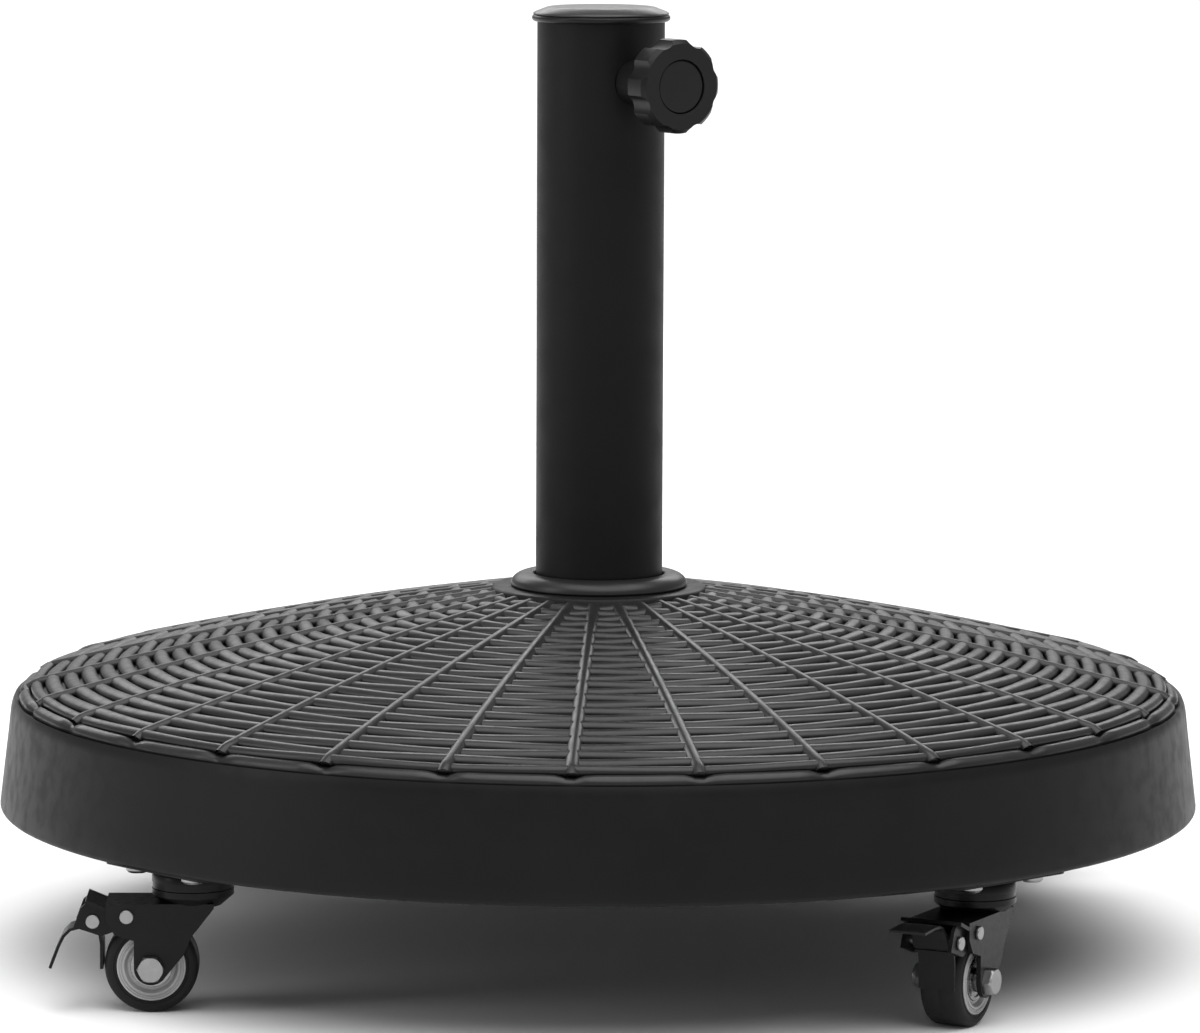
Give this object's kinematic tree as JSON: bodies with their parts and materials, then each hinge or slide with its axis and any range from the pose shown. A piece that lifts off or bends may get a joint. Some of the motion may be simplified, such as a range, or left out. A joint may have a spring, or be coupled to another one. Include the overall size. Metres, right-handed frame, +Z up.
{
  "type": "parasol base",
  "caption": "Round parasol base with a woven-look domed top, a clamp tube for the pole and braked swivel castors.",
  "frame": {"origin": "on the tube's vertical axis, on the floor that the four wheels stand on", "axes": "+Z up along the tube; +X to the right and -Y towards the front, with the castors on the diagonals"},
  "size_m": [0.52, 0.52, 0.4085],
  "materials": {
    "cast_black": "satin black cast body, woven relief on top, smooth skirt",
    "powder_black": "satin black powder coat",
    "collar_black": "semi-matte black trim ring",
    "plastic_black": "black moulded plastic",
    "plastic_grey": "grey clamp pad",
    "cap_grey": "dark grey moulded cap with a soft gloss",
    "castor_black": "black coated pressed steel",
    "pedal_black": "satin black coated pressed steel",
    "hub_grey": "light grey moulded hub",
    "tyre_black": "black rubber-like tread",
    "zinc": "bright zinc plate",
    "polished_steel": "polished steel",
    "brass": "turned brass"
  },
  "bodies": {
    "base": {"cast_disc": "cast_black", "screw_inserts": "brass", "castor_screws": "zinc", "tube": "powder_black", "tube_foot": "powder_black", "anchor_bolt": "zinc", "anchor_washer": "zinc", "collar": "collar_black", "liner": "plastic_black", "pole_seat": "plastic_black", "clamp_boss": "powder_black", "kingpins": "zinc", "swivel_balls": "polished_steel", "swivel_races": "castor_black", "fl_plate": "castor_black", "fr_plate": "castor_black", "br_plate": "castor_black", "bl_plate": "castor_black"},
    "cap": {"cap": "cap_grey"},
    "clamp_pad": {"clamp_pad": "plastic_grey"},
    "knob": {"knob": "plastic_black", "knob_stud": "zinc", "knob_disc": "plastic_black"},
    "fl_swivel": {"fl_fork": "castor_black", "fl_axle_bolt": "zinc", "fl_axle_nut": "zinc", "fl_brake_bracket": "castor_black", "fl_brake_pins": "zinc"},
    "fl_wheel": {"fl_wheel_core": "hub_grey", "fl_tyre": "tyre_black", "fl_bearings": "polished_steel"},
    "fl_pedal": {"fl_pedal": "pedal_black"},
    "fr_swivel": {"fr_fork": "castor_black", "fr_axle_bolt": "zinc", "fr_axle_nut": "zinc", "fr_brake_bracket": "castor_black", "fr_brake_pins": "zinc"},
    "fr_wheel": {"fr_wheel_core": "hub_grey", "fr_tyre": "tyre_black", "fr_bearings": "polished_steel"},
    "fr_pedal": {"fr_pedal": "pedal_black"},
    "br_swivel": {"br_fork": "castor_black", "br_axle_bolt": "zinc", "br_axle_nut": "zinc", "br_brake_bracket": "castor_black", "br_brake_pins": "zinc"},
    "br_wheel": {"br_wheel_core": "hub_grey", "br_tyre": "tyre_black", "br_bearings": "polished_steel"},
    "br_pedal": {"br_pedal": "pedal_black"},
    "bl_swivel": {"bl_fork": "castor_black", "bl_axle_bolt": "zinc", "bl_axle_nut": "zinc", "bl_brake_bracket": "castor_black", "bl_brake_pins": "zinc"},
    "bl_wheel": {"bl_wheel_core": "hub_grey", "bl_tyre": "tyre_black", "bl_bearings": "polished_steel"},
    "bl_pedal": {"bl_pedal": "pedal_black"}
  },
  "joints": [
    {"name": "cap_lift", "type": "slide", "parent": "base", "child": "cap", "axis": [0, 0, 1], "range_m": [0, 0.12]},
    {"name": "clamp_travel", "type": "slide", "parent": "base", "child": "clamp_pad", "axis": [-0.5878, 0.809, 0], "range_m": [0, 0.006]},
    {"name": "knob_turn", "type": "hinge", "parent": "clamp_pad", "child": "knob", "pos_m": [0.02645, -0.03641, 0.37722], "axis": [-0.5878, 0.809, 0], "range_deg": [0, 1728]},
    {"name": "fl_swivel", "type": "hinge", "parent": "base", "child": "fl_swivel", "pos_m": [-0.16193, -0.16193, 0.05], "axis": [0, 0, 1], "continuous": true},
    {"name": "fl_wheel_spin", "type": "hinge", "parent": "fl_swivel", "child": "fl_wheel", "pos_m": [-0.1789, -0.16282, 0.0195], "axis": [0.0523, -0.9986, 0], "continuous": true},
    {"name": "fl_brake_pedal", "type": "hinge", "parent": "fl_swivel", "child": "fl_pedal", "pos_m": [-0.20287, -0.16407, 0.0389], "axis": [-0.0523, 0.9986, 0], "range_deg": [0, 65]},
    {"name": "fr_swivel", "type": "hinge", "parent": "base", "child": "fr_swivel", "pos_m": [0.16193, -0.16193, 0.05], "axis": [0, 0, 1], "continuous": true},
    {"name": "fr_wheel_spin", "type": "hinge", "parent": "fr_swivel", "child": "fr_wheel", "pos_m": [0.15474, -0.17733, 0.0195], "axis": [0.9063, -0.4226, 0], "continuous": true},
    {"name": "fr_brake_pedal", "type": "hinge", "parent": "fr_swivel", "child": "fr_pedal", "pos_m": [0.1446, -0.19909, 0.0389], "axis": [-0.9063, 0.4226, 0], "range_deg": [-65, 0]},
    {"name": "br_swivel", "type": "hinge", "parent": "base", "child": "br_swivel", "pos_m": [0.16193, 0.16193, 0.05], "axis": [0, 0, 1], "continuous": true},
    {"name": "br_wheel_spin", "type": "hinge", "parent": "br_swivel", "child": "br_wheel", "pos_m": [0.17694, 0.16991, 0.0195], "axis": [-0.4695, 0.8829, 0], "continuous": true},
    {"name": "br_brake_pedal", "type": "hinge", "parent": "br_swivel", "child": "br_pedal", "pos_m": [0.19813, 0.18118, 0.0389], "axis": [0.4695, -0.8829, 0], "range_deg": [-65, 0]},
    {"name": "bl_swivel", "type": "hinge", "parent": "base", "child": "bl_swivel", "pos_m": [-0.16193, 0.16193, 0.05], "axis": [0, 0, 1], "continuous": true},
    {"name": "bl_wheel_spin", "type": "hinge", "parent": "bl_swivel", "child": "bl_wheel", "pos_m": [-0.17694, 0.16991, 0.0195], "axis": [-0.4695, -0.8829, 0], "continuous": true},
    {"name": "bl_brake_pedal", "type": "hinge", "parent": "bl_swivel", "child": "bl_pedal", "pos_m": [-0.19813, 0.18118, 0.0389], "axis": [0.4695, 0.8829, 0], "range_deg": [-65, 0]}
  ],
  "couplings": [
    {"joint": "clamp_travel", "follows": "knob_turn", "m_per_rad": 0.00019894}
  ]
}
